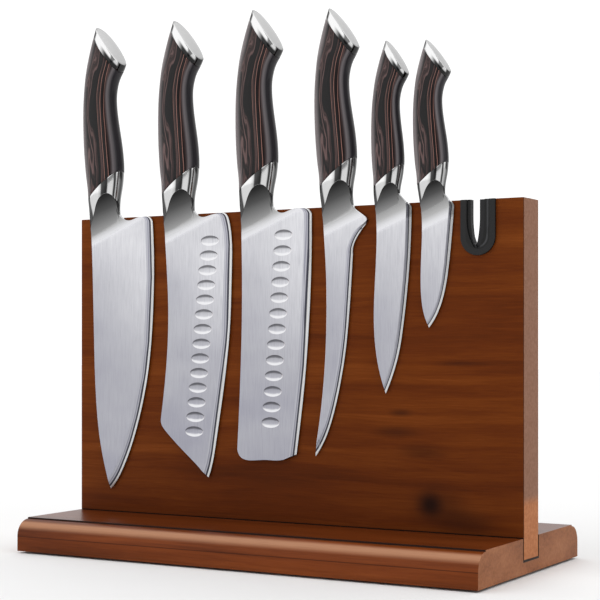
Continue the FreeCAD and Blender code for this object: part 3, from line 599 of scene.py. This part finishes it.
def through(points):
    """Smooth function through points whose first numbers rise."""
    places, heights = np.array(points, float).T
    count = len(places)
    gaps = np.diff(places)
    slopes = np.diff(heights) / gaps
    system = np.eye(count)
    target = np.zeros(count)
    for row in range(1, count - 1):
        system[row, row - 1:row + 2] = (gaps[row - 1], 2 * (gaps[row - 1] + gaps[row]), gaps[row])
        target[row] = 6 * (slopes[row] - slopes[row - 1])
    bend = np.linalg.solve(system, target)

    def value(where):
        where = np.asarray(where, float)
        left = np.clip(np.searchsorted(places, where) - 1, 0, count - 2)
        right = left + 1
        gap = gaps[left]
        before = (where - places[left]) / gap
        after = 1 - before
        curve = ((after ** 3 - after) * bend[left] + (before ** 3 - before) * bend[right])
        return after * heights[left] + before * heights[right] + curve * gap ** 2 / 6
    return value


# Length and thickness of the full-size handle.
FULL_LENGTH = 142
FULL_THICKNESS = 20
# Side view of the full-size handle: height above the board top, then the place of its back, its
# belly and half its thickness.
BACK = through([(-25, -10.8), (-12, -11.7), (0, -12.65), (8, -13.1), (15, -13.4), (20, -13.6),
                (25, -14.15), (30, -14.95), (40, -16.13), (50, -16.97), (60, -17.51),
                (70, -17.82), (80, -17.86), (90, -17.39), (100, -16.46), (111, -14.9),
                (119, -13.1), (129, -10.3), (138, -7.3), (152, -2)])
BELLY = through([(-25, 14.3), (-10, 14.3), (-2, 14.25), (2, 13.8), (6, 13.1), (10, 12.9),
                 (15, 13.3), (20, 14.2), (25, 15.1), (30, 15.66), (35, 15.95), (40, 15.85),
                 (45, 15.41), (50, 14.82), (60, 13.16), (70, 11.31), (80, 9.79), (87, 9.2),
                 (92, 9.25), (96, 9.8), (100, 10.72), (105, 12.82), (110, 16.0), (115, 18.1),
                 (122, 18.9), (138, 19.2), (152, 19.2)])
BULK = through([(-25, 3), (0, 4.3), (5, 5.6), (10, 7.4), (15, 8.7), (20, 9.2), (30, 9.7),
                (45, 10), (60, 9.9), (80, 9.4), (100, 9.5), (112, 9.8), (125, 9.4), (138, 8.9),
                (152, 8)])
# Seams and finishing line in the side view: across from the handle axis, then up.
GRIP_START = through([(-24, 13), (-14, 14.6), (-7, 17.5), (0, 22.5), (8, 28.5), (14, 33),
                      (24, 38)])
CAP_START = through([(-24, 157), (0, 126.7), (24, 96.5)])
CAP_END = through([(-24, 166), (-6, 143.4), (6, 128.6), (17.6, 112.3), (26, 99.5)])
FINISH_LINE = through([(-14, -21.6), (0, -15.8), (14.4, -10), (20, -7)])
# The handle's rounded section, the points round it, and half the blade's thickness.
SECTION_POWER = 2.3
SIDES = 96
BLADE_HALF = 1.25
# Steps in which a place that depends on itself settles.
SETTLING_STEPS = 60

turn = np.arange(SIDES) * 2 * math.pi / SIDES
ACROSS = np.sign(np.cos(turn)) * np.abs(np.cos(turn)) ** (2 / SECTION_POWER)
OUT = np.abs(np.sin(turn)) ** (2 / SECTION_POWER)
FRONT = np.where(np.sin(turn) >= 0, -1.0, 1.0)


def centre(up):
    """Middle of the handle's side view, across from its axis."""
    return (BACK(up) + BELLY(up)) / 2


def at_height(up, share):
    """Across of a point at a share of the half width."""
    return centre(up) + (BELLY(up) - BACK(up)) / 2 * share


def on_curve(curve, share):
    """Across and up of the points of a seam at each share of the half width."""
    up = np.asarray(curve(np.zeros(len(share))), float)
    for _ in range(SETTLING_STEPS):
        across = at_height(up, share)
        up = up * 0.4 + curve(across) * 0.6
    return across, up


def flat_edge(up):
    """Half thickness of the handle's flat edge, which fades from the blade's into the round."""
    return BLADE_HALF * np.clip((18 - up) / 16, 0, 1) ** 1.5


def thickness(up):
    """Half thickness of the handle at each column."""
    edge = flat_edge(up)
    return np.where(OUT > 1e-6, edge + (BULK(up) - edge) * OUT, 0)


class Handle:
    """One knife's handle: where it stands and how large it is against the full-size one."""

    def __init__(self, knife, axis, width, lean):
        self.knife = knife
        self.axis = axis * MM
        self.width = width
        self.lean = math.radians(lean)
        grip_low, grip_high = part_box(f"{knife}_grip")
        self.middle = (grip_low.y + grip_high.y) / 2
        self.height = (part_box(f"{knife}_butt_cap")[1].z - board_top) / (FULL_LENGTH * MM)
        self.depth = (grip_high.y - grip_low.y) / (FULL_THICKNESS * MM)

    def blade_back(self):
        """Heights below the board top and the blade's left edge there, a little inside it."""
        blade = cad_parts[f"{self.knife}_blade"].data
        points = np.array([vertex.co for vertex in blade.vertices])
        start, end = points[np.array([edge.vertices for edge in blade.edges])].transpose(1, 0, 2)
        heights = board_top - np.linspace(0.026, 0.0008, 64)
        left = []
        for height in heights:
            crossed = (start[:, 2] - height) * (end[:, 2] - height) < 0
            first, last = start[crossed], end[crossed]
            part = (height - first[:, 2]) / (last[:, 2] - first[:, 2])
            left.append((first[:, 0] + (last[:, 0] - first[:, 0]) * part).min() + 0.0001)
        neck = [board_top + 0.012, board_top + 0.016]
        return np.append(heights, neck), np.append(left, [left[-1] - 0.0014, left[-1] - 0.05])

    def placed(self, across, out, up):
        """Points in the row frame of points in the handle's own millimetres."""
        x = np.asarray(across) * self.width * MM
        z = np.asarray(up) * self.height * MM
        y = np.asarray(out) * self.depth * MM
        cos, sin = math.cos(self.lean), math.sin(self.lean)
        return np.stack([self.axis + x * cos + z * sin, self.middle + y,
                         board_top - x * sin + z * cos], axis=-1)


# Knife, axis of its handle, width against the full-size handle, and lean in degrees.
HANDLES = {"chef": (-154.4, 1, 0), "santoku": (-88, 0.99, 1.3), "nakiri": (-22, 0.99, 1.7),
           "boning": (42.3, 0.92, 0.2), "utility": (80.4, 0.72, 2.2), "paring": (113.2, 0.737, 0.5)}


def ring_mesh(name, rings, numbers, sharp_rings=()):
    """Closed skin over rings of points, with one number of each kind at every point."""
    mesh = bpy.data.meshes.new(name)
    count = len(rings[0])
    points = np.concatenate(rings)
    faces = []
    for row in range(len(rings) - 1):
        for side in range(count):
            ahead = (side + 1) % count
            faces.append((row * count + side, row * count + ahead,
                          (row + 1) * count + ahead, (row + 1) * count + side))
    first = len(points)
    middles = [rings[0].mean(axis=0), rings[-1].mean(axis=0)]
    points = np.concatenate([points, middles])
    last_row = (len(rings) - 1) * count
    for side in range(count):
        ahead = (side + 1) % count
        faces.append((first, ahead, side))
        faces.append((first + 1, last_row + side, last_row + ahead))
    mesh.from_pydata(points.tolist(), [], faces)
    for kind, values in numbers.items():
        flat = np.concatenate(values)
        ends = [values[0].mean(), values[-1].mean()]
        layer = mesh.attributes.new(kind, "FLOAT", "POINT")
        layer.data.foreach_set("value", np.concatenate([flat, ends]).astype(np.float32))
    mesh.polygons.foreach_set("use_smooth", [True] * len(mesh.polygons))
    shape = bmesh.new()
    shape.from_mesh(mesh)
    bmesh.ops.recalc_face_normals(shape, faces=shape.faces)
    shape.verts.ensure_lookup_table()
    for row in sharp_rings:
        row %= len(rings)
        for side in range(count):
            pair = [shape.verts[row * count + side], shape.verts[row * count + (side + 1) % count]]
            edge = shape.edges.get(pair)
            if edge:
                edge.smooth = False
    shape.to_mesh(mesh)
    shape.free()
    return mesh


# Chamfer at the seams, and half the handle's width and thickness there.
CHAMFER = 0.22
SEAM_WIDTH = 15
SEAM_THICKNESS = 9


def chamfered(across, out, up):
    """Across and out of a ring that is drawn in, so that the seam beside it shows as a line."""
    return (centre(up) + (across - centre(up)) * (1 - CHAMFER / SEAM_WIDTH),
            out * (1 - CHAMFER / SEAM_THICKNESS))


def grip_mesh(handle):
    """Grip between the two seams, with a fine chamfer at both."""
    rings = []
    numbers = {"lateral": [], "along": [], "depth": [], "share": []}
    low_up = on_curve(GRIP_START, ACROSS)[1]
    high_up = on_curve(CAP_START, ACROSS)[1]
    rows = [0, 0.002] + list(np.linspace(0.02, 0.98, 44)) + [0.998, 1]
    for number, part in enumerate(rows):
        up = low_up + (high_up - low_up) * part
        across = at_height(up, ACROSS)
        out = thickness(up) * FRONT
        if number in (0, len(rows) - 1):
            across, out = chamfered(across, out, up)
        rings.append(handle.placed(across, out, up))
        numbers["lateral"].append(across - centre(up))
        numbers["along"].append(up)
        numbers["depth"].append(out)
        numbers["share"].append(ACROSS)
    return ring_mesh(f"{handle.knife}_grip_mesh", rings, numbers, (0, -1))


# Which way the butt cap's end face points, across and up, and its dome: where the dome begins as a
# share of the face, its rise there and its height in the middle.
END_ACROSS = 0.78
END_UP = 0.62
DOME_EDGE = 0.945
DOME_FOOT = 0.06
DOME_HEIGHT = 0.75


def cap_mesh(handle):
    """Butt cap with a rounded rim and a slightly domed end face."""
    rings = []
    numbers = {"end_face": [], "rise": [], "share": []}
    low_up = on_curve(CAP_START, ACROSS)[1]
    high_across, high_up = on_curve(CAP_END, ACROSS)
    for number, part in enumerate([0, 0.03, 0.25, 0.5, 0.75, 0.9, 0.965]):
        up = low_up + (high_up - low_up) * part
        across = at_height(up, ACROSS)
        out = thickness(up) * FRONT
        if number == 0:
            across, out = chamfered(across, out, up)
        rings.append(handle.placed(across, out, up))
        numbers["end_face"].append(np.zeros(SIDES))
        numbers["rise"].append(np.full(SIDES, part))
        numbers["share"].append(ACROSS)
    middle = high_across.mean()
    rim = [(0.992, -0.06), (0.975, 0.02), (DOME_EDGE, DOME_FOOT)]
    dome = [(share, DOME_FOOT + DOME_HEIGHT * (1 - (share / DOME_EDGE) ** 2))
            for share in (0.88, 0.78, 0.65, 0.5, 0.35, 0.2, 0.08)]
    out_end = thickness(high_up) * FRONT
    for number, (share, lift) in enumerate(rim + dome):
        across = middle + (high_across - middle) * share
        up = CAP_END(across) + lift * END_UP
        rings.append(handle.placed(across + lift * END_ACROSS, out_end * share, up))
        numbers["end_face"].append(np.full(SIDES, min(1.0, number / 3)))
        numbers["rise"].append(np.ones(SIDES))
        numbers["share"].append(ACROSS)
    return ring_mesh(f"{handle.knife}_cap_mesh", rings, numbers, (0,))


# Top of the hollow in front, across the full-size handle.
ARCH = through([(-15, -15), (-12.5, -9), (-10, -4), (-7, 1.8), (-4, 7.2), (0, 13), (4, 16.4),
                (7.5, 17.4), (10, 16.4), (12, 13.4), (13.3, 9), (14.6, 2), (16, -6)])
# Foot of the hollow behind the blade, above the board top.
REAR_FOOT = 0.5


def hollow_rear(up):
    """Half thickness in the hollow behind the blade, above the board top only."""
    return BLADE_HALF - 0.05 + 8.7 * (np.maximum(up - REAR_FOOT, 0) / 17) ** 2.2


def bolster_mesh(handle):
    """Bolster with its arched hollow; in front the hollow runs down the blade's face."""
    front = FRONT < 0
    top_up = on_curve(GRIP_START, ACROSS)[1]
    low_up = np.full(SIDES, REAR_FOOT)
    arch = np.full(SIDES, 6.0)
    for _ in range(SETTLING_STEPS):
        low_up = np.where(front, FINISH_LINE(at_height(low_up, ACROSS)), REAR_FOOT)
        arch = arch * 0.5 + ARCH(at_height(arch, ACROSS)) * 0.5
    arch = np.clip(arch, low_up + 0.5, top_up - 0.5)
    low = np.full(SIDES, 0.9)
    high = top_up - 0.6
    for _ in range(SETTLING_STEPS):
        trial = (low + high) / 2
        inside = hollow_rear(trial) < thickness(trial)
        low = np.where(inside, trial, low)
        high = np.where(inside, high, trial)
    arch = np.where(front, arch, low)
    heights, left = handle.blade_back()
    rings = []
    numbers = {"hollow": [], "share": []}
    lower_rows = list(np.linspace(0, 1, 30))
    upper_rows = [0.045] + list(np.linspace(0, 1, 16))[1:-1] + [0.985, 1]
    for part in lower_rows:
        up = low_up + (arch - low_up) * part
        across = at_height(up, ACROSS)
        swell = BLADE_HALF - 0.005 + (thickness(arch) - BLADE_HALF + 0.005) * part ** 2.6
        out = np.minimum(np.where(front, swell, hollow_rear(up)), thickness(up))
        rings.append(handle.placed(across, np.where(OUT > 1e-6, out, 0) * FRONT, up))
        above = np.where(front, up - FINISH_LINE(across), (up - REAR_FOOT) * 1.8)
        numbers["hollow"].append(np.clip(above / 36, 0, 0.95))
        numbers["share"].append(ACROSS)
    for number, part in enumerate(upper_rows):
        up = arch + (top_up - arch) * part
        across = at_height(up, ACROSS)
        out = thickness(up)
        if number == len(upper_rows) - 1:
            across, out = chamfered(across, out, up)
        rings.append(handle.placed(across, out * FRONT, up))
        numbers["hollow"].append(np.ones(SIDES))
        numbers["share"].append(ACROSS)
    for points in rings:
        points[:, 0] = np.maximum(points[:, 0], np.interp(points[:, 2], heights, left))
    return ring_mesh(f"{handle.knife}_bolster_mesh", rings, numbers, (len(lower_rows) - 1, -1))


def mark_ground(mesh, middle):
    """Stores 1 on the faces of the cutting bevel, which run from the blade's face to its edge."""
    values = []
    for face in mesh.polygons:
        depths = [abs(mesh.vertices[corner].co.y - middle) for corner in face.vertices]
        spread = max(depths) - min(depths)
        values.append(float(min(depths) < 0.0005 and spread > 0.0003 and abs(face.normal.y) > 0.5))
    mesh.attributes.new("ground", "FLOAT", "FACE").data.foreach_set("value", values)


bolster_finish = bolster_steel()
grip_finish = grip_wood()
cap_finish = cap_steel()
for knife, (axis, width, lean) in HANDLES.items():
    handle = Handle(knife, axis, width, lean)
    body = f"{knife}_knife"
    steel = blade_steel(knife, handle.axis, board_top, handle.middle)
    blade = eased_piece(f"{knife}_blade", f"{knife}_blade_forged", body, BLADE_EASE,
                        steel, angle=60, sharp=12)
    mark_ground(blade.data, handle.middle)
    put(f"{knife}_bolster_forged", bolster_mesh(handle), body,
        [f"{knife}_bolster"], bolster_finish)
    put(f"{knife}_grip_laminated", grip_mesh(handle), body, [f"{knife}_grip"],
        grip_finish)
    put(f"{knife}_butt_cap_turned", cap_mesh(handle), body,
        [f"{knife}_butt_cap"], cap_finish)

# ---------------------------------------------------------------- floor, light and camera


def grey(level):
    return (level, level, level, 1)


def stop(degrees, level):
    """Brightness of the studio's walls at a bearing."""
    return (degrees / 360 + 0.5, grey(level))


FLOOR_REACH = 8
floor_mesh = bpy.data.meshes.new("floor")
floor_mesh.from_pydata([(-FLOOR_REACH, -FLOOR_REACH, 0), (FLOOR_REACH, -FLOOR_REACH, 0),
                        (FLOOR_REACH, FLOOR_REACH, 0), (-FLOOR_REACH, FLOOR_REACH, 0)],
                       [], [(0, 1, 2, 3)])
floor = bpy.data.objects.new("floor", floor_mesh)
bpy.context.scene.collection.objects.link(floor)
floor_finish = Finish("floor_paint", {"Base Color": grey(0.82), "Roughness": 0.9,
                                      "Specular IOR Level": 0.1})
floor_mesh.materials.append(floor_finish.material)

world = bpy.data.worlds.new("studio")
bpy.context.scene.world = world
world.use_nodes = True
studio = Paint(world.node_tree)
direction = studio.node("ShaderNodeTexCoord", output="Generated")
turned = studio.node("ShaderNodeVectorRotate", {"rotation_type": "Z_AXIS"},
                     {"Vector": direction, "Angle": math.radians(60)})
ahead, side, above = studio.parts(turned)
bearing = side.math("ARCTAN2", ahead) / (2 * math.pi) + 0.5
walls = studio.ramp(bearing, stop(-180, 0.75), stop(-150, 0.75), stop(-141, 0.12),
                    stop(-116, 0.12), stop(-106, 1), stop(-32, 1), stop(-24, 0.2), stop(16, 0.2),
                    stop(27, 1), stop(74, 1), stop(82, 0.12), stop(110, 0.12), stop(120, 0.75),
                    stop(180, 0.75))
ceiling = studio.mix(above.rise(0.55, 0.8), walls, grey(1))
seen = studio.node("ShaderNodeLightPath", output="Is Camera Ray")
background = studio.tree.nodes["Background"]
studio.feed(background.inputs["Color"], studio.mix(seen, ceiling, grey(0.75)))
background.inputs["Strength"].default_value = STUDIO_LIGHT

lens = bpy.data.cameras.new("camera")
lens.lens = 91.54
lens.shift_y = 0.0757
camera = bpy.data.objects.new("camera", lens)
camera.location = (0.5398, -0.9270, 0.1478)
camera.rotation_euler = (math.radians(90), 0, math.radians(29.98))
bpy.context.scene.collection.objects.link(camera)
bpy.context.scene.camera = camera
bpy.context.scene.view_settings.view_transform = "Standard"
